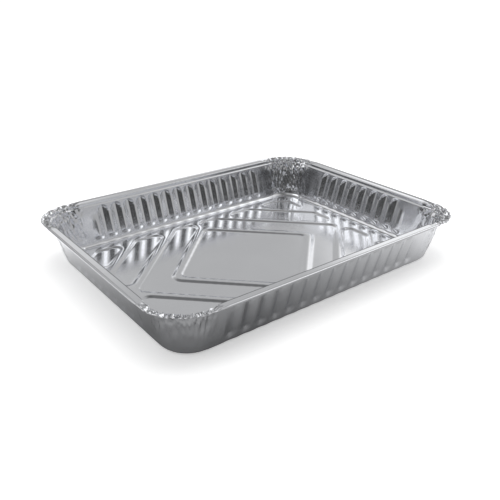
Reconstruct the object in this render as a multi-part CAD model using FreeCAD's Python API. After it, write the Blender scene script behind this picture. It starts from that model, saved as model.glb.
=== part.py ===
import FreeCAD, Part
import math
import os

# An oblong roasting tray pressed from one sheet of thin foil, in millimetres.
# X runs along the long sides, Y along the short ones and Z points up.
# The origin is on the table, below the middle of the tray.

# Outside sizes
rim_length = 320.0
rim_width = 250.0
height = 43.0
foil = 0.12

# Rim: a flat flange whose edge is curled over and under into a bead
rim_corner = 36.0
flange_width = 7.7
bead_radius = 1.15
flange_drop = 0.7
curl_gap = 40.0
gather_height = 0.55

# Shoulder: the short riser and the narrow ledge under the flange
riser_height = 3.4
riser_lean = 0.5
ledge_width = 0.9
ledge_fall = 0.5

# Tub: walls that lean inwards down to a rounded foot
wall_lean = 8.2
base_corner = 24.0
foot_radius = 4.0
crease_depth = 0.5

# Flutes pressed into the walls
long_flutes = 14
short_flutes = 8
flute_pitch = 14.2
flute_depth = 1.7
crest_share = 0.17
arch_height = 8.0
foot_arch_height = 5.5
arch_gap = 0.8

# Floor: sunk pads between raised ribs, all laid at 45 degrees
rib_height = 1.2
rib_width = 3.4
rib_slope = 3.5
rib_shares = (0.318, 0.489, 0.671)
pad_corner = 5.0
pad_margin_end = 21.0
pad_margin_side = 17.0
foot_flat = 1.0
foot_slope = 3.0

# Straight pieces that make up the rounded forms
corner_steps = 12
curl_steps = 3
foot_steps = 4
pad_turn = 30.0

half_length = rim_length / 2
half_width = rim_width / 2

# Heights of the folds, measured on the upper side of the foil
bead_middle = height - bead_radius
flange_top = height - flange_drop
riser_foot = flange_top - riser_height
wall_top = riser_foot - ledge_fall

# Insets of the folds, measured inwards from the outside of the bead
riser_inset = flange_width + riser_lean
wall_inset = riser_inset + ledge_width
base_inset = wall_inset + wall_lean

lean = math.atan2(wall_lean, wall_top - foil)


def vec(x, y, z=0.0):
    return FreeCAD.Vector(x, y, z)


def panel(points):
    """A flat face with straight edges."""
    return Part.Face(Part.makePolygon(list(points) + [points[0]]))


def ring(inset, z, corner):
    """The four corners of a rounded oblong, each as a list of points."""
    corners = []
    for quarter in range(4):
        points = []
        for step in range(corner_steps + 1):
            turn = math.radians(90 * (quarter + step / corner_steps))
            sx = 1 if quarter in (0, 3) else -1
            sy = 1 if quarter in (0, 1) else -1
            x = sx * (half_length - inset - corner) + corner * math.cos(turn)
            y = sy * (half_width - inset - corner) + corner * math.sin(turn)
            points.append(vec(x, y, z))
        corners.append(points)
    return corners


def upper_ring(inset, z):
    """A ring that shares its corner centres with the rim."""
    return ring(inset, z, rim_corner - inset)


def lower_ring(inset, z):
    """A ring that shares its corner centres with the base."""
    return ring(inset, z, base_corner + base_inset - inset)


def strip(first, second, flat=True):
    """Faces that join two rings; folded corners are made of triangles."""
    faces = []
    for c in range(4):
        a, b = first[c], second[c]
        for i in range(corner_steps):
            if flat:
                faces.append(panel([a[i], a[i + 1], b[i + 1], b[i]]))
            else:
                faces.append(panel([a[i], a[i + 1], b[i + 1]]))
                faces.append(panel([a[i], b[i + 1], b[i]]))
        n = (c + 1) % 4
        faces.append(panel([a[-1], first[n][0], second[n][0], b[-1]]))
    return faces


def bend(middle_inset, middle_z, radius, turns, steps, make_ring):
    """Rings along a rounded fold of the section, from one angle to the next."""
    rings = []
    for first, last in zip(turns, turns[1:]):
        for k in range(steps):
            t = math.radians(first + (last - first) * k / steps)
            rings.append((middle_inset + radius * math.cos(t), middle_z + radius * math.sin(t)))
    t = math.radians(turns[-1])
    rings.append((middle_inset + radius * math.cos(t), middle_z + radius * math.sin(t)))
    return [make_ring(x, z) for x, z in rings]


def band(rings):
    """Flat strips from each ring to the next."""
    faces = []
    for first, second in zip(rings, rings[1:]):
        faces += strip(first, second)
    return faces


def gathered(rings, amount):
    """Lift every other point of the corners, as in gathered foil."""
    moved = []
    for points in rings:
        row = []
        for i, p in enumerate(points):
            lift = amount * (0.7 + 0.3 * math.sin(2.3 * i)) if i % 2 else 0.0
            row.append(p + vec(0, 0, lift))
        moved.append(row)
    return moved


def creased(top, bottom, share, phase):
    """A ring part way down the wall, with its corners pushed in and out."""
    rows = []
    for c in range(4):
        row = []
        for i in range(corner_steps + 1):
            p = top[c][i] + (bottom[c][i] - top[c][i]) * share
            if 0 < i < corner_steps:
                turn = math.radians(90 * (c + i / corner_steps))
                size = crease_depth * (0.6 + 0.4 * math.sin(2.3 * i + phase))
                push = size if i % 2 else -size
                p = p + vec(push * math.cos(turn), push * math.sin(turn))
            row.append(p)
        rows.append(row)
    return rows


def arch(place, middle, full, tip, depth, pitch):
    """The rounded end of one flute, from its full width to its tip."""
    rise = tip - full
    crest = crest_share * pitch / 2
    foot = pitch / 2 - crest
    faces = []
    crests = []
    tips = []
    outline = {}
    for side in (-1, 1):
        edge = [place(middle + side * foot, full, 0),
                place(middle + side * foot * 0.84, full + rise * 0.52, 0),
                place(middle + side * foot * 0.50, full + rise * 0.86, 0),
                place(middle + side * crest * 0.7, tip, 0)]
        low = place(middle + side * crest, full, depth)
        high = place(middle + side * crest, full + rise * 0.72, depth)
        faces.append(panel([edge[0], low, high]))
        for i in range(3):
            faces.append(panel([edge[i], high, edge[i + 1]]))
        crests.append((low, high))
        tips.append(edge[3])
        outline[side] = edge
    (l0, l1), (r0, r1) = crests
    faces.append(panel([l0, r0, r1, l1]))
    faces.append(panel([l1, r1, tips[1], tips[0]]))
    return faces, outline


def flutes(place, count, pitch, top, bottom):
    """A row of flutes and the outline they cut from the plain wall.

    At the top each groove sinks outwards from the plain wall, and at the
    foot each land stands inwards from it, so the row leans across the wall.
    """
    tip_up, tip_down = top - arch_gap, bottom + arch_gap
    full_up, full_down = tip_up - arch_height, tip_down + foot_arch_height
    crest = crest_share * pitch / 2
    foot = pitch / 2 - crest
    folds = [(k + 0.5 - count / 2) * pitch for k in range(count)]
    lands = [(k - count / 2) * pitch for k in range(count + 1)]
    faces = []
    upper = []
    lower = []
    for u in folds:
        made, outline = arch(place, u, full_up, tip_up, flute_depth, pitch)
        faces += made
        upper += outline[-1] + outline[1][::-1]
        faces.append(panel([place(u - crest, full_up, flute_depth),
                            place(u + crest, full_up, flute_depth),
                            place(u + crest, full_down, 0),
                            place(u - crest, full_down, 0)]))
        for side in (-1, 1):
            faces.append(panel([place(u + side * crest, full_up, flute_depth),
                                place(u + side * foot, full_up, 0),
                                place(u + side * foot, full_down, -flute_depth),
                                place(u + side * crest, full_down, 0)]))
    for u in lands:
        made, outline = arch(place, u, full_down, tip_down, -flute_depth, pitch)
        faces += made
        lower += outline[-1] + outline[1][::-1]
        faces.append(panel([place(u - crest, full_up, 0),
                            place(u + crest, full_up, 0),
                            place(u + crest, full_down, -flute_depth),
                            place(u - crest, full_down, -flute_depth)]))
    for side, u in ((-1, lands[0]), (1, lands[-1])):
        faces.append(panel([place(u + side * crest, full_up, 0),
                            place(u + side * crest, full_down, -flute_depth),
                            place(u + side * foot, full_down, 0)]))
    first = place(lands[0] - crest, full_up, 0)
    last = place(lands[-1] + crest, full_up, 0)
    outline = [first] + upper + [last] + lower[::-1]
    return faces, outline


def walls(top, bottom, rows):
    """Fluted sides and creased corners between two rings."""
    faces = []
    levels = [top] + rows + [bottom]
    for first, second in zip(levels, levels[1:]):
        for c in range(4):
            a, b = first[c], second[c]
            for i in range(corner_steps):
                faces.append(panel([a[i], a[i + 1], b[i + 1]]))
                faces.append(panel([a[i], b[i + 1], b[i]]))
    for c in range(4):
        n = (c + 1) % 4
        left = [level[c][-1] for level in levels]
        right = [level[n][0] for level in levels]
        turn = math.radians(90 * (c + 1))
        out = vec(math.cos(turn), math.sin(turn))
        along = vec(-math.sin(turn), math.cos(turn))
        z0, z1 = bottom[c][-1].z, top[c][-1].z
        r0, r1 = bottom[c][-1].dot(out), top[c][-1].dot(out)

        def place(u, z, depth):
            reach = r0 + (r1 - r0) * (z - z0) / (z1 - z0) + depth
            return out * reach + along * u + vec(0, 0, z)

        count = long_flutes if c % 2 == 0 else short_flutes
        room = (right[-1] - left[-1]).dot(along)
        pitch = min(flute_pitch, room / (count + 2))
        made, hole = flutes(place, count, pitch, z1, z0)
        faces += made
        border = Part.makePolygon(left + right[::-1] + [left[0]])
        cut = Part.makePolygon(hole + [hole[0]])
        faces.append(Part.makeFace([border, cut], "Part::FaceMakerBullseye"))
    return faces


def clipped(points, nx, ny, limit):
    """The part of a convex outline where nx*x + ny*y stays below a limit."""
    kept = []
    for i, p in enumerate(points):
        q = points[(i + 1) % len(points)]
        dp = nx * p[0] + ny * p[1] - limit
        dq = nx * q[0] + ny * q[1] - limit
        if dp <= 0:
            kept.append(p)
        if dp * dq < 0:
            s = dp / (dp - dq)
            kept.append((p[0] + (q[0] - p[0]) * s, p[1] + (q[1] - p[1]) * s))
    return kept


def tidy(points):
    """The same outline without points that fall on one another."""
    kept = []
    for p in points:
        if not kept or math.dist(p, kept[-1]) > 0.5:
            kept.append(p)
    if len(kept) > 1 and math.dist(kept[0], kept[-1]) <= 0.5:
        kept.pop()
    return kept


def outline(points, grow, z):
    """The points of a closed outline, rounded and grown outwards."""
    lines = []
    for p, q in zip(points, points[1:] + points[:1]):
        size = math.dist(p, q)
        dx, dy = (q[0] - p[0]) / size, (q[1] - p[1]) / size
        lines.append((p[0] + dy * grow, p[1] - dx * grow, dx, dy, size))
    rounded = []
    for (x1, y1, ax, ay, len1), (x2, y2, bx, by, len2) in zip(lines[-1:] + lines, lines):
        cross = ax * by - ay * bx
        s = ((x2 - x1) * by - (y2 - y1) * bx) / cross
        turn = math.atan2(cross, ax * bx + ay * by)
        side = math.copysign(1.0, turn)
        half = math.tan(abs(turn) / 2)
        base = min(pad_corner, 0.4 * min(len1, len2) / half)
        radius = base + grow if side > 0 else base + 2 * rib_slope - grow
        s -= radius * half
        mx, my = x1 + ax * s - side * radius * ay, y1 + ay * s + side * radius * ax
        steps = math.ceil(abs(math.degrees(turn)) / pad_turn)
        for k in range(steps + 1):
            heading = math.atan2(ay, ax) + turn * k / steps
            rounded.append(vec(mx + side * radius * math.sin(heading),
                               my - side * radius * math.cos(heading), z))
    return rounded


def pads():
    """Outlines of the sunk pads of the floor, each as corner points."""
    end = half_length - base_inset - pad_margin_end
    side = half_width - base_inset - pad_margin_side
    reach = half_length + half_width - 2 * base_inset
    half_rib = (rib_width / 2 + rib_slope) * math.sqrt(2)
    ribs = [share * reach for share in rib_shares]
    gap = rib_width / 2 + rib_slope
    box = [(-end, -side), (end, -side), (end, side), (-end, side)]
    shapes = []
    middle = box
    for sx in (-1, 1):
        for sy in (-1, 1):
            middle = clipped(middle, sx, sy, ribs[0] - half_rib)
    shapes.append(tidy(middle))
    bands = [(ribs[0] + half_rib, ribs[1] - half_rib),
             (ribs[1] + half_rib, ribs[2] - half_rib),
             (ribs[2] + half_rib, end + side - 2 * pad_corner)]
    for near, far in bands:
        joined = near < end - 3 * pad_corner
        floor_y = 0.0 if joined else gap
        quad = [(gap, floor_y), (end, floor_y), (end, side), (gap, side)]
        quad = clipped(quad, -1, -1, -near)
        quad = clipped(quad, 1, 1, far)
        if joined:
            start = max(range(len(quad)), key=lambda k: quad[k][0] - 999 * quad[k][1])
            quad = quad[start:] + quad[:start]
            chevron = tidy(quad + [(x, -y) for x, y in quad[-2:0:-1]])
            if far > end:
                chevron = chevron[1:]
            shapes.append(chevron)
            shapes.append([(-x, y) for x, y in chevron[::-1]])
        else:
            quad = tidy(quad)
            if len(quad) > 2:
                shapes.append(quad)
                shapes.append([(-x, y) for x, y in quad[::-1]])
                shapes.append([(-x, -y) for x, y in quad])
                shapes.append([(x, -y) for x, y in quad[::-1]])
    return shapes


def floor(border, low, high):
    """The ribbed plate of the floor with its sunk pads."""
    rim = [p for corner in border for p in corner]
    wires = [Part.makePolygon(rim + [rim[0]])]
    faces = []
    for shape in pads():
        sunk = outline(shape, 0.0, low)
        lip = outline(shape, rib_slope, high)
        for i in range(len(lip)):
            faces.append(panel([sunk[i - 1], sunk[i], lip[i], lip[i - 1]]))
        faces.append(panel(sunk))
        wires.append(Part.makePolygon(lip + [lip[0]]))
    faces.append(Part.makeFace(wires, "Part::FaceMakerBullseye"))
    return faces


def folds(depth):
    """The folds of the section, some depth below the upper side."""
    path = [(0.0, flange_top), (flange_width, flange_top),
            (riser_inset, riser_foot), (wall_inset, wall_top),
            (base_inset, foil), (half_width, foil)]
    lines = []
    for (x1, z1), (x2, z2) in zip(path, path[1:]):
        size = math.hypot(x2 - x1, z2 - z1)
        dx, dz = (x2 - x1) / size, (z2 - z1) / size
        lines.append((x1 + dz * depth, z1 - dx * depth, dx, dz))
    moved = []
    for (x1, z1, ax, az), (x2, z2, bx, bz) in zip(lines, lines[1:]):
        s = ((x2 - x1) * bz - (z2 - z1) * bx) / (ax * bz - az * bx)
        moved.append((x1 + ax * s, z1 + az * s))
    return moved


def skin(depth):
    """One side of the foil and its free edge, below the upper side."""
    flange, riser, ledge, base = folds(depth)
    curl = bead_radius - depth
    start = math.degrees(math.asin((flange_top - depth - bead_middle) / curl))
    turns = (start, 90, 180, 270, 360 - curl_gap / 2)
    roll = bend(bead_radius, bead_middle, curl, turns, curl_steps, upper_ring)
    faces = band(roll)
    gathers = gathered(upper_ring(*flange), gather_height)
    step, shelf = upper_ring(*riser), upper_ring(*ledge)
    faces += strip(roll[0], gathers, False)
    faces += strip(gathers, step, False)
    faces += strip(step, shelf)

    middle_inset, middle_z = folds(foil - foot_radius)[3]
    turns = (180 + math.degrees(lean), 270)
    foot = bend(middle_inset, middle_z, foot_radius - foil + depth, turns, foot_steps, lower_ring)
    rows = [creased(shelf, foot[0], 0.30, 0.0), creased(shelf, foot[0], 0.65, 2.0)]
    faces += walls(shelf, foot[0], rows)

    low = foil - depth
    high = low + rib_height
    heel = lower_ring(middle_inset + foot_flat, low)
    border = lower_ring(middle_inset + foot_flat + foot_slope, high)
    faces += band(foot + [heel, border])
    faces += floor(border, low, high)
    return faces, roll[-1]


upper, upper_edge = skin(0.0)
lower, lower_edge = skin(foil)
shell = Part.Shell(upper + lower + strip(upper_edge, lower_edge))
shell.sewShape()
tray = Part.Solid(shell)
if tray.Volume < 0:
    tray.reverse()

os.makedirs("parts", exist_ok=True)
tray.exportStep("parts/foil_tray.step")
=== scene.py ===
import math

import bmesh
import bpy
import numpy as np
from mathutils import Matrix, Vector
from mathutils.geometry import delaunay_2d_cdt


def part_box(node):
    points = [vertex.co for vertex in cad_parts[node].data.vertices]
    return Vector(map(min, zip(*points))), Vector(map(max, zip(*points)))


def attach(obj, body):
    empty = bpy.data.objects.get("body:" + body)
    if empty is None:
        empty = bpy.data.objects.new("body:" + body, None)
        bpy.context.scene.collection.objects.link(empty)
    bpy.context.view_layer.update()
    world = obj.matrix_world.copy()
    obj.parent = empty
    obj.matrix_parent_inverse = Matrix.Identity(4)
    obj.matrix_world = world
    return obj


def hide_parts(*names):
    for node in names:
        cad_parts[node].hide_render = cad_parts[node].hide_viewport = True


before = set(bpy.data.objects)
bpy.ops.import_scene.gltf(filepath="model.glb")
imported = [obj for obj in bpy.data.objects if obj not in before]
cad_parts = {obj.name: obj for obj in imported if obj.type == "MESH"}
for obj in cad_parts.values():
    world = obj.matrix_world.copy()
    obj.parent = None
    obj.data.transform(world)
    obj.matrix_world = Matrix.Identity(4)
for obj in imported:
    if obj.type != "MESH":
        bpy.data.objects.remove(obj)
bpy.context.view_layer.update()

# Sizes are in millimetres until a mesh is made.
MM = 0.001

# Whole tray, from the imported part, which stands with its middle on the origin
half_length, half_width, height = np.array(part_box("foil_tray")[1]) / MM

# Rim: a flat flange whose edge is curled into a bead, up to the angle curl_end
rim_corner = 36.0
flange_width = 7.7
bead_radius = 1.15
flange_drop = 0.7
curl_end = 340.0

# Shoulder under the flange
riser_height = 3.4
riser_lean = 0.5
ledge_width = 0.9
ledge_fall = 0.5

# Tub: the wall leans inwards down to a rounded foot; foil is the thickness of the sheet
wall_lean = 8.2
base_corner = 24.0
foot_radius = 4.0
foil = 0.12

# Flutes: flat grooves and lands with sloped flanks between them. crest_share is the share of
# the pitch that is flat in each of them, fold_half half the width of a rounded fold, arch_gap
# the plain foil beyond the arches, and an arch's edge says how softly the flute rounds off
long_flutes = 14
short_flutes = 8
flute_pitch = 14.2
flute_depth = 1.7
crest_share = 0.17
fold_half = 0.22
arch_height = 8.0
foot_arch_height = 5.5
arch_gap = 0.8
arch_edge = 0.16
foot_arch_edge = 0.8
foot_wave = 0.4

# Crushed foil of the corners: how far it reaches along the sides, how deep it is on the parts
# of the section, how strong on the wall of each corner, anticlockwise from the +X +Y one,
# which level of the facets stays in place, and how it weakens on the riser and to the foot
crush_reach = 14.0
crush_flange = 3.4
crush_bead = 1.6
crush_wall = 2.4
crush_shares = (1.0, 1.1, 0.7, 0.9)
crush_rest = 0.3
crush_riser_share = 0.6
crush_low_share = 0.35
crush_fade = 9.0
top_clearance = 0.02

# Layers of facets in the crushed foil: skew, width, height, seed and strength
rim_facets = [(0.2, 3.4, 8.0, 11, 1.0), (-0.4, 2.4, 3.0, 12, 0.4)]
wall_facets = [(0.25, 3.4, 13.0, 13, 1.0), (-0.3, 2.2, 7.0, 14, 0.5)]

# Floor: sunk pads between raised ribs at 45 degrees. A band of pads crosses the long axis where
# it has room for its point before the end of the floor, and the last one stops short of the
# corner; points nearer than least_side count as one
rib_height = 1.2
rib_width = 3.4
rib_slope = 3.5
rib_shares = (0.318, 0.489, 0.671)
pad_corner = 5.0
pad_corner_share = 0.4
pad_margin_end = 21.0
pad_margin_side = 17.0
cross_room = 3 * pad_corner
tip_room = 2 * pad_corner
least_side = 0.5
foot_flat = 1.0
foot_slope = 3.0

# Slope from a pad to a rib: distance from the pad's edge, and share of the rib's height
slope_levels = [(-1.6, 0.0), (-0.5, 0.02), (0.5, 0.12), (rib_slope / 2, 0.5),
                (rib_slope - 0.5, 0.88), (rib_slope + 0.5, 0.98), (rib_slope + 1.5, 1.0)]

# How finely the foil is divided: parts round a corner and along a plain end, rows of each part
# of the section, and steps of the floor's outlines and of the grid between them
corner_parts = 72
plain_parts = 14
flank_shares = (0.25, 0.5, 0.75)
bead_rows = 14
flange_rows = 6
riser_rows = 4
arch_rows = 18
middle_rows = 8
foot_arch_rows = 14
foot_rows = 6
slope_rows = 3
pad_arc_parts = 6
floor_step = 2.2
grid_step = 3.2
grid_reach = 240.0
grid_clear = 1.2
grid_border = 1.5
plate_accuracy = 1e-5
weld_gap = 0.02

# How strongly broad facets outweigh narrow ones in the shading
facet_weight = 60

bead_middle = height - bead_radius
flange_top = height - flange_drop
riser_foot = flange_top - riser_height
wall_top = riser_foot - ledge_fall
riser_inset = flange_width + riser_lean
wall_inset = riser_inset + ledge_width
base_inset = wall_inset + wall_lean
lean = math.atan2(wall_lean, wall_top - foil)
foot_inset = base_inset + foot_radius * math.tan(math.pi / 4 - lean / 2)
plate_inset = foot_inset + foot_flat + foot_slope


def smooth(t):
    """A soft step from 0 to 1."""
    t = np.clip(t, 0.0, 1.0)
    return t * t * (3 - 2 * t)


# Stations: the places round the tray where its section is drawn

def side_stations(count):
    """Places along one side: plain end, flutes with their folds, plain end."""
    crest = crest_share * flute_pitch / 2
    foot = flute_pitch / 2 - crest
    marks = [0.0, crest - fold_half, crest + fold_half, foot - fold_half, foot + fold_half]
    marks += [crest + (foot - crest) * share for share in flank_shares]
    half = sorted(set([-m for m in marks] + marks))
    spots = [(k + 0.5 - count / 2) * flute_pitch + m for k in range(count) for m in half]
    spots += [(k - count / 2) * flute_pitch for k in range(count + 1)]
    end = count / 2 * flute_pitch
    for m in marks[1:]:
        spots += [-end - m, end + m]
    return np.array(sorted(spots))


class Station:
    """One place round the tray: on a corner, on a plain end or among the flutes.

    A corner station has its quarter of the tray and its angle. Any other one has its side, and
    either its place along the side or its share of the way from the flutes' end to the corner.
    """

    def __init__(self, side=None, quarter=None, angle=None, along=None, share=None, end=None):
        self.side = side
        self.quarter = quarter
        self.angle = angle
        self.along = along
        self.share = share
        self.end = end


def all_stations():
    """Stations once round the tray, anticlockwise from the +X side."""
    stations = []
    for quarter in range(4):
        for k in range(corner_parts + 1):
            turn = math.pi / 2 * (quarter + k / corner_parts)
            stations.append(Station(quarter=quarter, angle=turn))
        count = long_flutes if quarter % 2 == 0 else short_flutes
        fluted = side_stations(count)
        side = (quarter + 1) % 4
        for k in range(1, plain_parts):
            stations.append(Station(side, share=1 - k / plain_parts, end=fluted[0]))
        for u in fluted:
            stations.append(Station(side, along=u))
        for k in range(1, plain_parts):
            stations.append(Station(side, share=k / plain_parts, end=fluted[-1]))
    return stations


stations = all_stations()


def per_side(corner, short, long):
    """One value for each station: its corner's, or that of its short or long side."""
    values = [corner if s.side is None else (short if s.side % 2 == 0 else long) for s in stations]
    return np.array(values)


def ring(inset, lower):
    """Points, outward directions and places along the side of every station at some inset.

    lower goes from 0 for the rim's corners to 1 for the base's.
    """
    upper_x, upper_y = half_length - rim_corner, half_width - rim_corner
    reach = base_inset + base_corner
    cx = upper_x + (half_length - reach - upper_x) * lower
    cy = upper_y + (half_width - reach - upper_y) * lower
    radius = half_length - inset - cx
    points, normals, places = [], [], []
    for s in stations:
        if s.angle is not None:
            ox, oy = math.cos(s.angle), math.sin(s.angle)
            sx = 1 if s.quarter in (0, 3) else -1
            sy = 1 if s.quarter in (0, 1) else -1
            points.append((sx * cx + radius * ox, sy * cy + radius * oy))
            normals.append((ox, oy))
            places.append(0.0)
            continue
        turn = math.pi / 2 * s.side
        ox, oy = math.cos(turn), math.sin(turn)
        half_side, out = (cy, cx + radius) if s.side % 2 == 0 else (cx, cy + radius)
        if s.along is not None:
            u = s.along
        else:
            limit = math.copysign(half_side, s.end)
            u = s.end + (limit - s.end) * s.share
        points.append((ox * out - oy * u, oy * out + ox * u))
        normals.append((ox, oy))
        places.append(u)
    return np.array(points), np.array(normals), np.array(places)


# Section: the rows of points from the curl's free edge to the floor

def wall_heights(low_z):
    """Heights of the wall's rows: close together where the flutes round off."""
    up, down = wall_top - arch_gap - arch_height, low_z + arch_gap + foot_arch_height
    top = np.linspace(wall_top, up, arch_rows)
    middle = np.linspace(up, down, middle_rows)
    foot = np.linspace(down, low_z, foot_arch_rows)
    return np.concatenate([top[1:], middle[1:], foot[1:]])


def rim_section():
    """Rows of the curled bead, the flange and the shoulder."""
    rows = []
    start = math.degrees(math.asin((flange_top - bead_middle) / bead_radius))
    for t in np.radians(np.linspace(curl_end, start, bead_rows)):
        rows.append((bead_radius + bead_radius * math.cos(t),
                     bead_middle + bead_radius * math.sin(t), 0.0, "bead"))
    first = rows[-1][0]
    for k in range(1, flange_rows + 1):
        rows.append((first + (flange_width - first) * k / flange_rows, flange_top, 0.0, "flange"))
    for k in range(1, riser_rows + 1):
        rows.append((flange_width + riser_lean * k / riser_rows,
                     flange_top - riser_height * k / riser_rows, 0.0, "riser"))
    rows.append((riser_inset + ledge_width / 2, riser_foot - ledge_fall / 2, 0.0, "riser"))
    return rows


def section():
    """Rows of the section as inset, height, lower share and kind, and the wall's lowest height."""
    rows = rim_section()
    rows.append((wall_inset, wall_top, 0.0, "wall"))
    foot_z = foil + foot_radius
    low_x = foot_inset - foot_radius * math.cos(lean)
    low_z = foot_z - foot_radius * math.sin(lean)
    for z in wall_heights(low_z):
        share = (wall_top - z) / (wall_top - low_z)
        rows.append((wall_inset + (low_x - wall_inset) * share, z, share, "wall"))
    for k in range(1, foot_rows + 1):
        t = math.pi + lean + (math.pi / 2 - lean) * k / foot_rows
        rows.append((foot_inset + foot_radius * math.cos(t),
                     foot_z + foot_radius * math.sin(t), 1.0, "foot"))
    rows.append((foot_inset + foot_flat, foil, 1.0, "floor"))
    for k in range(1, slope_rows + 1):
        rows.append((foot_inset + foot_flat + foot_slope * k / slope_rows,
                     foil + rib_height * smooth(k / slope_rows), 1.0, "floor"))
    return rows, low_z


def facing(line):
    """The direction each row of the section faces, as inset and height."""
    step = np.gradient(line, axis=0)
    step /= np.linalg.norm(step, axis=1)[:, None]
    return np.column_stack([-step[:, 1], step[:, 0]])


def length_gone(points):
    """The length gone along a line of points, at each of them."""
    return np.concatenate([[0.0], np.cumsum(np.linalg.norm(np.diff(points, axis=0), axis=1))])


# Flutes

def flute_push(u, z, count, top, bottom):
    """How far the flutes push the wall outwards at some place and height.

    Towards the foot the grooves grow shallow and the lands sink in. The leaning flanks of a
    groove run on into the arch at its top, and a land ends at the foot in a softer arch.
    """
    crest = crest_share * flute_pitch / 2
    foot = flute_pitch / 2 - crest
    tip_up, tip_down = top - arch_gap, bottom + arch_gap
    full_up, full_down = tip_up - arch_height, tip_down + foot_arch_height
    end = count / 2 * flute_pitch
    flat = 1 - crest / foot
    from_fold = np.abs((u + end) % flute_pitch - flute_pitch / 2)
    from_land = flute_pitch / 2 - from_fold
    inside = np.abs(u) <= end
    beyond = np.abs(u) - end
    share = (full_up - z) / (full_up - full_down)
    if z >= full_up:
        rise = (z - full_up) / arch_height
        dome = np.clip((1 - np.sqrt((from_fold / foot) ** 2 + rise ** 2)) / arch_edge, 0, None)
        groove = np.clip((1 - from_fold / foot) / flat, 0, 1) - share
        return np.where(inside, flute_depth * np.minimum(groove, dome), 0.0)
    if z <= full_down:
        fall = (full_down - z) / foot_arch_height
        land = np.where(inside, from_land, beyond)
        dome = np.clip((1 - np.sqrt((land / foot) ** 2 + fall ** 2)) / foot_arch_edge, 0, 1)
        ridge = np.clip((1 - land / foot) / flat, 0, 1)
        return -flute_depth * np.minimum(ridge, dome)
    groove = np.clip((1 - from_fold / foot) / flat, 0, 1)
    ridge = np.clip((1 - beyond / foot) / flat, 0, 1)
    return np.where(inside, flute_depth * (groove - share), -flute_depth * share * ridge)


def waves(u, side_count):
    """Where the foil of the foot is pulled inwards, below each land and round a corner: 0 to 1."""
    end = side_count / 2 * flute_pitch
    wave = 0.5 + 0.5 * np.cos(2 * math.pi * (u + end) / flute_pitch)
    return np.where(np.abs(u) < end + flute_pitch / 2, wave, 0.0)


def wave_share(inset):
    """How strong the waves of the foot are at some inset: none at the wall and at the floor."""
    first = foot_inset - foot_radius * math.cos(lean)
    return float(smooth((inset - first) / foot_flat) * smooth((plate_inset - inset) / foot_slope))


# Crushed foil

def facets(along, down, wide, tall, seed):
    """Facets of crushed foil, about -0.5 to 0.5: how near the nearest of many scattered points is."""
    dice = np.random.default_rng(seed)
    a, d = along / wide, down / tall
    columns = np.arange(math.floor(a.min()) - 1, math.ceil(a.max()) + 2)
    rows = np.arange(math.floor(d.min()) - 1, math.ceil(d.max()) + 2)
    spots_a, spots_d = np.meshgrid(columns, rows)
    spots_a = (spots_a + dice.uniform(0, 1, spots_a.shape)).ravel()
    spots_d = (spots_d + dice.uniform(0, 1, spots_d.shape)).ravel()
    nearest = np.full(a.shape, np.inf)
    for x, y in zip(spots_a, spots_d):
        nearest = np.minimum(nearest, (a - x) ** 2 + (d - y) ** 2)
    return np.sqrt(nearest) - 0.5


def crushed_rows(layers, along, down, bent):
    """Crushed foil at every row and bent station, from a few layers of facets."""
    crush = np.zeros((len(down), len(along)))
    a, d = np.meshgrid(along[bent], down)
    for skew, wide, tall, seed, strength in layers:
        crush[:, bent] += strength * facets(a + skew * d, d, wide, tall, seed)
    return crush


def corner_share(place):
    """How much each station is crushed: fully on a corner, and less and less along the sides."""
    straight = per_side(0.0, half_width - rim_corner, half_length - rim_corner)
    gone = np.where(straight > 0, straight - np.abs(place), 0.0)
    return smooth(1 - gone / crush_reach)


def nearest_share(xy):
    """The strength of the crushed wall at the corner that is nearest to each station."""
    nearest = np.where(xy[:, 1] > 0, np.where(xy[:, 0] > 0, 0, 1), np.where(xy[:, 0] > 0, 3, 2))
    return np.array(crush_shares)[nearest]


def crush_push(kind, z, low_z, rim_crush, wall_crush):
    """How far the crushed foil pushes one row out where it is fully crushed."""
    if kind == "bead":
        return crush_bead * np.minimum(rim_crush - crush_rest, 0.0)
    if kind == "flange":
        return crush_flange * (rim_crush - crush_rest)
    if kind == "riser":
        return crush_flange * crush_riser_share * (rim_crush - crush_rest)
    if kind == "wall":
        depth = crush_wall * (crush_low_share + (1 - crush_low_share) * z / wall_top)
        return depth * smooth((z - low_z) / crush_fade) * wall_crush
    return np.zeros(len(stations))


def tub():
    """The rim, walls and foot as rows of points, one point a station."""
    rows, low_z = section()
    line = np.array([(inset, z) for inset, z, lower, kind in rows])
    faces = facing(line)
    xy, normal, place = ring(flange_width, 0.0)
    corner = corner_share(place)
    along, down = length_gone(xy), length_gone(line)
    rim_crush = crushed_rows(rim_facets, along, down, corner > 0)
    wall_crush = crushed_rows(wall_facets, along, down, corner > 0) * nearest_share(xy)
    side_count = per_side(0, short_flutes, long_flutes)
    grid = []
    for r, (inset, z, lower, kind) in enumerate(rows):
        xy, normal, u = ring(inset, lower)
        out = np.zeros(len(stations))
        if kind == "wall":
            for count in (long_flutes, short_flutes):
                on = side_count == count
                out[on] = flute_push(u[on], z, count, wall_top, low_z)
        elif kind in ("foot", "floor"):
            out -= foot_wave * wave_share(inset) * waves(u, side_count)
        crush = corner * crush_push(kind, z, low_z, rim_crush[r], wall_crush[r])
        side, lift = faces[r]
        out = out - side * crush
        high = np.minimum(z + lift * crush, height - top_clearance)
        grid.append(np.column_stack([xy + normal * out[:, None], high]))
    return np.array(grid)


# Floor: outlines of the sunk pads, as in the part

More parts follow.
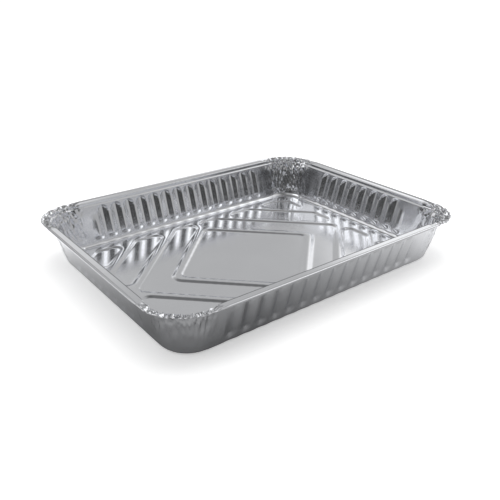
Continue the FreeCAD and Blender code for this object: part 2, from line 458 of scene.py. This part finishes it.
def clipped(points, nx, ny, limit):
    """The part of a convex outline where nx*x + ny*y stays below a limit."""
    kept = []
    for p, q in zip(points, points[1:] + points[:1]):
        dp = nx * p[0] + ny * p[1] - limit
        dq = nx * q[0] + ny * q[1] - limit
        if dp <= 0:
            kept.append(p)
        if dp * dq < 0:
            s = dp / (dp - dq)
            kept.append((p[0] + (q[0] - p[0]) * s, p[1] + (q[1] - p[1]) * s))
    return kept


def without_doubles(points):
    """The same outline without points that fall on one another."""
    kept = []
    for p in points:
        if not kept or math.dist(p, kept[-1]) > least_side:
            kept.append(p)
    if len(kept) > 1 and math.dist(kept[0], kept[-1]) <= least_side:
        kept.pop()
    return kept


def chevron(quad, cut):
    """A pad that crosses the long axis: its upper half and the same again below.

    cut says that the end of the floor cuts off its point, so that no corner is left there.
    """
    start = max(range(len(quad)), key=lambda k: (-quad[k][1], quad[k][0]))
    quad = quad[start:] + quad[:start]
    whole = without_doubles(quad + [(x, -y) for x, y in quad[-2:0:-1]])
    return whole[1:] if cut else whole


def pads():
    """Outlines of the sunk pads, each as corner points: the middle one, then band after band."""
    end = half_length - base_inset - pad_margin_end
    side = half_width - base_inset - pad_margin_side
    reach = half_length + half_width - 2 * base_inset
    gap = rib_width / 2 + rib_slope
    half_rib = gap * math.sqrt(2)
    ribs = [share * reach for share in rib_shares]
    middle = [(-end, -side), (end, -side), (end, side), (-end, side)]
    for sx in (-1, 1):
        for sy in (-1, 1):
            middle = clipped(middle, sx, sy, ribs[0] - half_rib)
    shapes = [without_doubles(middle)]
    bands = [(ribs[0] + half_rib, ribs[1] - half_rib),
             (ribs[1] + half_rib, ribs[2] - half_rib),
             (ribs[2] + half_rib, end + side - tip_room)]
    for near, far in bands:
        crosses = near < end - cross_room
        low = 0.0 if crosses else gap
        quad = [(gap, low), (end, low), (end, side), (gap, side)]
        quad = clipped(clipped(quad, -1, -1, -near), 1, 1, far)
        if crosses:
            shape = chevron(quad, far > end)
            shapes += [shape, [(-x, y) for x, y in shape[::-1]]]
        else:
            shape = without_doubles(quad)
            shapes += [shape, [(-x, y) for x, y in shape[::-1]],
                       [(-x, -y) for x, y in shape], [(x, -y) for x, y in shape[::-1]]]
    return shapes


def rounded(points, grow):
    """A closed outline with rounded corners, grown outwards, in short steps."""
    lines = []
    for p, q in zip(points, points[1:] + points[:1]):
        size = math.dist(p, q)
        dx, dy = (q[0] - p[0]) / size, (q[1] - p[1]) / size
        lines.append((p[0] + dy * grow, p[1] - dx * grow, dx, dy, size))
    path = []
    for (x1, y1, ax, ay, len1), (x2, y2, bx, by, len2) in zip(lines[-1:] + lines, lines):
        cross = ax * by - ay * bx
        s = ((x2 - x1) * by - (y2 - y1) * bx) / cross
        turn = math.atan2(cross, ax * bx + ay * by)
        side = math.copysign(1.0, turn)
        half = math.tan(abs(turn) / 2)
        base = min(pad_corner, pad_corner_share * min(len1, len2) / half)
        radius = base + grow if side > 0 else base + 2 * rib_slope - grow
        s -= radius * half
        mx, my = x1 + ax * s - side * radius * ay, y1 + ay * s + side * radius * ax
        for k in range(pad_arc_parts + 1):
            heading = math.atan2(ay, ax) + turn * k / pad_arc_parts
            path.append((mx + side * radius * math.sin(heading), my - side * radius * math.cos(heading)))
    fine = []
    for p, q in zip(path, path[1:] + path[:1]):
        parts = max(1, math.ceil(math.dist(p, q) / floor_step))
        for k in range(parts):
            fine.append((p[0] + (q[0] - p[0]) * k / parts, p[1] + (q[1] - p[1]) * k / parts))
    return fine


def inside_outline(shape, x, y):
    """Whether a point lies inside a closed outline."""
    x1, y1 = shape[:, 0], shape[:, 1]
    x2, y2 = np.roll(x1, -1), np.roll(y1, -1)
    crosses = (y1 > y) != (y2 > y)
    with np.errstate(divide="ignore", invalid="ignore"):
        at = x1 + (y - y1) * (x2 - x1) / (y2 - y1)
    return bool(np.count_nonzero(crosses & (x < at)) % 2)


def past_border(x, y):
    """How far a point lies outside the floor's rounded border; inside it is below 0."""
    corner = base_corner + base_inset - plate_inset
    dx = abs(x) - (half_length - plate_inset - corner)
    dy = abs(y) - (half_width - plate_inset - corner)
    return math.hypot(max(dx, 0), max(dy, 0)) + min(max(dx, dy), 0) - corner


def grid_points(lines):
    """Points with their heights on a grid along the ribs, clear of the border and of the lines."""
    sunk = [np.array(rounded(shape, 0.0)) for shape in pads()]
    root = math.sqrt(0.5)
    span = np.arange(-grid_reach, grid_reach, grid_step)
    found = []
    for a in span:
        for b in span:
            x, y = (a - b) * root, (a + b) * root
            if past_border(x, y) > -grid_border:
                continue
            if np.min((lines[:, 0] - x) ** 2 + (lines[:, 1] - y) ** 2) < grid_clear ** 2:
                continue
            low = any(inside_outline(shape, x, y) for shape in sunk)
            found.append((x, y, foil if low else foil + rib_height))
    return found


def floor_plate(border):
    """The floor inside the border: pads, slopes and ribs as one triangulated sheet."""
    points = [Vector(p[:2]) for p in border]
    heights = [p[2] for p in border]
    edges = [(i, (i + 1) % len(points)) for i in range(len(points))]
    for shape in pads():
        for grow, share in slope_levels:
            line = rounded(shape, grow)
            first = len(points)
            edges += [(first + k, first + (k + 1) % len(line)) for k in range(len(line))]
            points += [Vector(p) for p in line]
            heights += [foil + rib_height * share] * len(line)
    for x, y, z in grid_points(np.array([tuple(p) for p in points])):
        points.append(Vector((x, y)))
        heights.append(z)
    inside_only = 1
    made, _, faces, origin, _, _ = delaunay_2d_cdt(
        points, edges, [list(range(len(border)))], inside_only, plate_accuracy)
    verts = []
    for p, source in zip(made, origin):
        z = np.mean([heights[i] for i in source]) if source else foil + rib_height
        verts.append((p.x, p.y, z))
    return np.array(verts), faces


# Tray

def weld(obj):
    """Join points that fall on one another, and shade the sheet smoothly."""
    sheet = bmesh.new()
    sheet.from_mesh(obj.data)
    bmesh.ops.remove_doubles(sheet, verts=sheet.verts, dist=weld_gap * MM)
    sheet.to_mesh(obj.data)
    sheet.free()
    obj.data.polygons.foreach_set("use_smooth", [True] * len(obj.data.polygons))


def tray_sheet():
    """One sheet of foil: the tub's rows with the floor plate let in."""
    grid = tub()
    rows, count = grid.shape[:2]
    verts = grid.reshape(-1, 3)
    faces = []
    for r in range(rows - 1):
        for i in range(count):
            j = (i + 1) % count
            faces.append((r * count + i, r * count + j, (r + 1) * count + j, (r + 1) * count + i))
    plate, plate_faces = floor_plate([tuple(p) for p in grid[-1]])
    faces += [tuple(i + len(verts) for i in face) for face in plate_faces]
    mesh = bpy.data.meshes.new("foil_tray_sheet")
    mesh.from_pydata((np.vstack([verts, plate]) * MM).tolist(), [], faces)
    sheet = bpy.data.objects.new("foil_tray_sheet", mesh)
    bpy.context.scene.collection.objects.link(sheet)
    weld(sheet)
    return sheet


def crisp(obj):
    """Shade broad flat facets flat and turn only their narrow edges."""
    edges = obj.modifiers.new("crisp_facets", "WEIGHTED_NORMAL")
    edges.mode = "FACE_AREA"
    edges.weight = facet_weight


# Small helpers for materials and the sky

def new_material(name):
    """An empty material with its node tree and Principled shader."""
    material = bpy.data.materials.new(name)
    material.use_nodes = True
    return material, material.node_tree, material.node_tree.nodes["Principled BSDF"]


def feed(tree, value, socket):
    """Give a socket another node's output or a plain value."""
    if isinstance(value, bpy.types.NodeSocket):
        tree.links.new(value, socket)
    else:
        socket.default_value = value


def combined(tree, operation, first, second):
    """Two values added, multiplied or compared."""
    step = tree.nodes.new("ShaderNodeMath")
    step.operation = operation
    feed(tree, first, step.inputs[0])
    feed(tree, second, step.inputs[1])
    return step.outputs["Value"]


def measured(tree, operation, vector, other=None):
    """A vector's length, or how far it goes along another one."""
    step = tree.nodes.new("ShaderNodeVectorMath")
    step.operation = operation
    tree.links.new(vector, step.inputs[0])
    if other is not None:
        step.inputs[1].default_value = other
    return step.outputs["Value"]


def ranged(tree, value, span, result, way="LINEAR"):
    """A value carried over from one span to another and kept within it."""
    step = tree.nodes.new("ShaderNodeMapRange")
    step.interpolation_type = way
    tree.links.new(value, step.inputs["Value"])
    for name, limit in zip(("From Min", "From Max", "To Min", "To Max"), (*span, *result)):
        feed(tree, limit, step.inputs[name])
    return step.outputs["Result"]


def noise(tree, place, scale, detail):
    """Random cloudy values between 0 and 1."""
    pattern = tree.nodes.new("ShaderNodeTexNoise")
    pattern.inputs["Scale"].default_value = scale
    pattern.inputs["Detail"].default_value = detail
    tree.links.new(place, pattern.inputs["Vector"])
    return pattern.outputs["Fac"]


# Foil: rolling lines run along X; scales are per metre, the depth of the dents is in metres
foil_dull = (0.825, 0.833, 0.86, 1)
foil_bright = (0.9, 0.91, 0.935, 1)
foil_rough = (0.11, 0.18)
roll_stretch = (0.06, 1.0, 1.0)
roll_scale = 260.0
roll_detail = 3.0
roll_span = (0.3, 0.7)
cloud_scale = 22.0
cloud_detail = 2.0
dent_scale = 70.0
dent_detail = 4.0
dent_strength = 0.06
dent_depth = 0.0006


def foil_material():
    """Bright rolled aluminium foil, satin, with rolling lines, cloudy patches and faint dents."""
    material, tree, shader = new_material("rolled_foil")
    place = tree.nodes.new("ShaderNodeTexCoord").outputs["Object"]
    shader.inputs["Metallic"].default_value = 1.0
    along = tree.nodes.new("ShaderNodeMapping")
    along.inputs["Scale"].default_value = roll_stretch
    tree.links.new(place, along.inputs["Vector"])
    lines = noise(tree, along.outputs["Vector"], roll_scale, roll_detail)
    tree.links.new(ranged(tree, lines, roll_span, foil_rough), shader.inputs["Roughness"])
    tint = tree.nodes.new("ShaderNodeMix")
    tint.data_type = "RGBA"
    tint.inputs["A"].default_value = foil_dull
    tint.inputs["B"].default_value = foil_bright
    tree.links.new(noise(tree, place, cloud_scale, cloud_detail), tint.inputs["Factor"])
    tree.links.new(tint.outputs["Result"], shader.inputs["Base Color"])
    bump = tree.nodes.new("ShaderNodeBump")
    bump.inputs["Strength"].default_value = dent_strength
    bump.inputs["Distance"].default_value = dent_depth
    tree.links.new(noise(tree, place, dent_scale, dent_detail), bump.inputs["Height"])
    tree.links.new(bump.outputs["Normal"], shader.inputs["Normal"])
    return material


tray = tray_sheet()
crisp(tray)
tray.data.materials.append(foil_material())
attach(tray, "root")
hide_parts("foil_tray")


# Studio: all lengths in metres, all angles in degrees

# Soft patches of light in the sky: compass angle from +X and height angle of the middle,
# angle at which the patch has faded out and angle up to which it is full, and strength
sky_room = 0.42
sky_least = 0.06
sky_glows = [(29, 20, 18, 9, 0.55),
             (77, 22, 13, 5, 0.28),
             (100, 22, 20, 8, -0.2),
             (2, 24, 24, 10, 0.25),
             (-5, 44, 24, 9, 0.85),
             (-52, 60, 23, 10, 0.2),
             (-107, 54, 22, 13, -0.3),
             (130, 36, 26, 10, 0.4),
             (58, 32, 30, 10, 0.06),
             (161, 41, 20, 10, 0.95),
             (78, 60, 22, 8, -0.25),
             (0, 90, 26, 12, -0.2)]

# Dark low belts: compass angle of the middle, where the belt ends and where it is full on each
# side, the height up to which it is full and the height where it ends, and its depth
dark_belts = [(-148, 74, 62, 14, 36, 0.85),
              (52, 64, 46, 5, 15, 0.65)]

# Table: its colour to the lens, and in the metal a grey that is painted shade; and its painted
# glow in the metal, which rises along one direction, dies away far behind the tray and is
# darkened close to the tray as painted shade
table_size = 20.0
table_rough = 0.9
table_white = 0.92
table_grey_painted_shade = 0.3
painted_glow_way = (0.555, 0.832, 0)
painted_glow_span = (-0.13, 0.085)
painted_glow_levels = (0.08, 1.3)
far_span = (0.18, 0.3)
far_levels = (1.0, 0.05)
shade_reach = 0.08

# Table to the lens: its painted glow, weaker near the tray than far away, which paints soft shade round the
# tray
painted_lens_light_span = (0.25, 1.0)
painted_lens_light_levels = (0.42, 0.62)

# Lamp over the tray
lamp_height = 1.2
lamp_size = 1.0
lamp_power = 8.0


def table_material():
    """A plain pale table, white to the lens with a painted glow, and in the metal a soft grey fall-off of
    painted glow with painted shade close to the tray.
    """
    material, tree, shader = new_material("pale_floor")
    place = tree.nodes.new("ShaderNodeTexCoord").outputs["Object"]
    to_lens = tree.nodes.new("ShaderNodeLightPath").outputs["Is Camera Ray"]
    shader.inputs["Roughness"].default_value = table_rough
    shader.inputs["Emission Color"].default_value = (1, 1, 1, 1)
    # The grey in the metal is painted shade: the same table is white to the lens
    tone = ranged(tree, to_lens, (0.0, 1.0), (table_grey_painted_shade, table_white))
    tree.links.new(tone, shader.inputs["Base Color"])
    # Painted glow in the metal: it rises along one direction, dies away far behind the tray, and the
    # occlusion darkens it near the tray as painted shade
    across = measured(tree, "DOT_PRODUCT", place, painted_glow_way)
    rising = ranged(tree, across, painted_glow_span, painted_glow_levels)
    dying = ranged(tree, across, far_span, far_levels)
    open_sky = tree.nodes.new("ShaderNodeAmbientOcclusion")
    open_sky.inputs["Distance"].default_value = shade_reach
    mirrored = combined(tree, "MULTIPLY", combined(tree, "MULTIPLY", rising, dying), open_sky.outputs["AO"])
    # Painted glow to the lens, weaker near the tray as painted shade; reflection rays get the painted glow
    # in the metal instead
    painted_lens_light = ranged(tree, measured(tree, "LENGTH", place), painted_lens_light_span, painted_lens_light_levels)
    shine = ranged(tree, to_lens, (0.0, 1.0), (mirrored, painted_lens_light))
    tree.links.new(shine, shader.inputs["Emission Strength"])
    return material


def studio_floor():
    """A wide pale sheet that the tray stands on."""
    mesh = bpy.data.meshes.new("studio_floor")
    corners = [(x * table_size, y * table_size, 0) for x, y in ((-1, -1), (1, -1), (1, 1), (-1, 1))]
    mesh.from_pydata(corners, [], [(0, 1, 2, 3)])
    mesh.materials.append(table_material())
    sheet = bpy.data.objects.new("studio_floor", mesh)
    bpy.context.scene.collection.objects.link(sheet)


def aim(compass, lift):
    """The direction at a compass angle from +X and a height angle."""
    compass, lift = math.radians(compass), math.radians(lift)
    return Vector((math.cos(compass) * math.cos(lift), math.sin(compass) * math.cos(lift), math.sin(lift)))


def glow(tree, direction, away, near, power):
    """A soft patch of light in the sky, round one direction."""
    place = tree.nodes.new("ShaderNodeTexCoord").outputs["Generated"]
    turn = measured(tree, "DOT_PRODUCT", place, direction)
    span = (math.cos(math.radians(away)), math.cos(math.radians(near)))
    return ranged(tree, turn, span, (0.0, power), "SMOOTHSTEP")


def belt_light(tree, middle, away, near, low, high, depth):
    """How much light is left where a dark belt lies."""
    side = glow(tree, aim(middle, 0), away, near, depth)
    split = tree.nodes.new("ShaderNodeSeparateXYZ")
    tree.links.new(tree.nodes.new("ShaderNodeTexCoord").outputs["Generated"], split.inputs["Vector"])
    span = (math.sin(math.radians(low)), math.sin(math.radians(high)))
    below = ranged(tree, split.outputs["Z"], span, (1.0, 0.0), "SMOOTHSTEP")
    return combined(tree, "SUBTRACT", 1.0, combined(tree, "MULTIPLY", side, below))


def studio_sky():
    """A dim room with soft bright screens round the table, white to the lens."""
    world = bpy.data.worlds.new("studio_sky")
    bpy.context.scene.world = world
    world.use_nodes = True
    tree = world.node_tree
    light = sky_room
    for compass, lift, away, near, power in sky_glows:
        light = combined(tree, "ADD", glow(tree, aim(compass, lift), away, near, power), light)
    for belt in dark_belts:
        light = combined(tree, "MULTIPLY", light, belt_light(tree, *belt))
    light = combined(tree, "MAXIMUM", light, sky_least)
    to_lens = tree.nodes.new("ShaderNodeLightPath").outputs["Is Camera Ray"]
    light = combined(tree, "MAXIMUM", light, to_lens)
    background = tree.nodes["Background"]
    background.inputs["Color"].default_value = (1, 1, 1, 1)
    tree.links.new(light, background.inputs["Strength"])


def overhead_lamp():
    """A large soft lamp that lights the table but is not mirrored in the foil."""
    lamp = bpy.data.lights.new("overhead_lamp", "AREA")
    lamp.energy = lamp_power
    lamp.size = lamp_size
    holder = bpy.data.objects.new("overhead_lamp", lamp)
    holder.location = (0, 0, lamp_height)
    holder.visible_glossy = False
    bpy.context.scene.collection.objects.link(holder)


# Camera, at the photograph's own viewing angle: angles in degrees, distance and target in
# millimetres, focal length in pixels of the photograph, sensor in millimetres, clip in metres
camera_azimuth = -37.542
camera_elevation = 25.548
camera_distance = 582.225
camera_target = (8.433, 7.42, 0.0)
camera_focal = 599.466
photo_width = 500
sensor_width = 36.0
clip_start = 0.01


def photo_camera():
    """The camera that sees the tray as the photograph does."""
    lens = bpy.data.cameras.new("photo_camera")
    lens.sensor_width = sensor_width
    lens.lens = camera_focal / photo_width * sensor_width
    lens.clip_start = clip_start
    back = aim(camera_azimuth - 90, camera_elevation)
    camera = bpy.data.objects.new("photo_camera", lens)
    camera.location = (Vector(camera_target) + back * camera_distance) * MM
    camera.rotation_euler = back.to_track_quat("Z", "Y").to_euler()
    bpy.context.scene.collection.objects.link(camera)
    bpy.context.scene.camera = camera


studio_floor()
studio_sky()
overhead_lamp()
photo_camera()
bpy.context.scene.view_settings.view_transform = "Standard"
